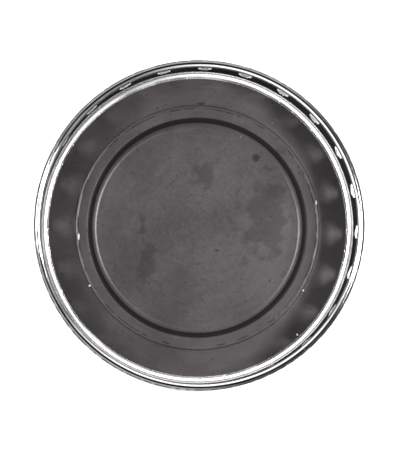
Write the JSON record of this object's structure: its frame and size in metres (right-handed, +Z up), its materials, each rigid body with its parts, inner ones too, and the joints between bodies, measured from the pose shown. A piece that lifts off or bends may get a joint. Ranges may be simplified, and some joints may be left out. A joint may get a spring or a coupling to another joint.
{
  "type": "shoe polish tin",
  "caption": "Round, shallow press-lid tin for shoe polish, open and empty, with a slotted wall, standing in the brim of its own lid.",
  "frame": {"origin": "centre of the rest plane, under the lid's panel", "axes": "+Z up along the tin's axis, out of its mouth; +X to the right and +Y away from the viewer who looks down into the tin"},
  "size_m": [0.07, 0.07, 0.0193],
  "materials": {
    "tinplate_wall": "bright drawn tinplate, lightly scuffed",
    "lacquered_floor": "dark grey satin lacquer with handling marks",
    "seam_compound": "matt sealing compound",
    "tinplate_lid": "bright drawn tinplate, lightly scuffed",
    "seal_film": "matt sealing film"
  },
  "bodies": {
    "lid": {"lid_shell": "tinplate_lid", "lid_seal": "seal_film"},
    "base": {"body_wall": "tinplate_wall", "bottom_panel": "lacquered_floor", "seam_compound": "seam_compound"}
  },
  "joints": [
    {"name": "base_lift", "type": "slide", "parent": "lid", "child": "base", "axis": [0, 0, 1], "range_m": [0, 0.03]}
  ]
}
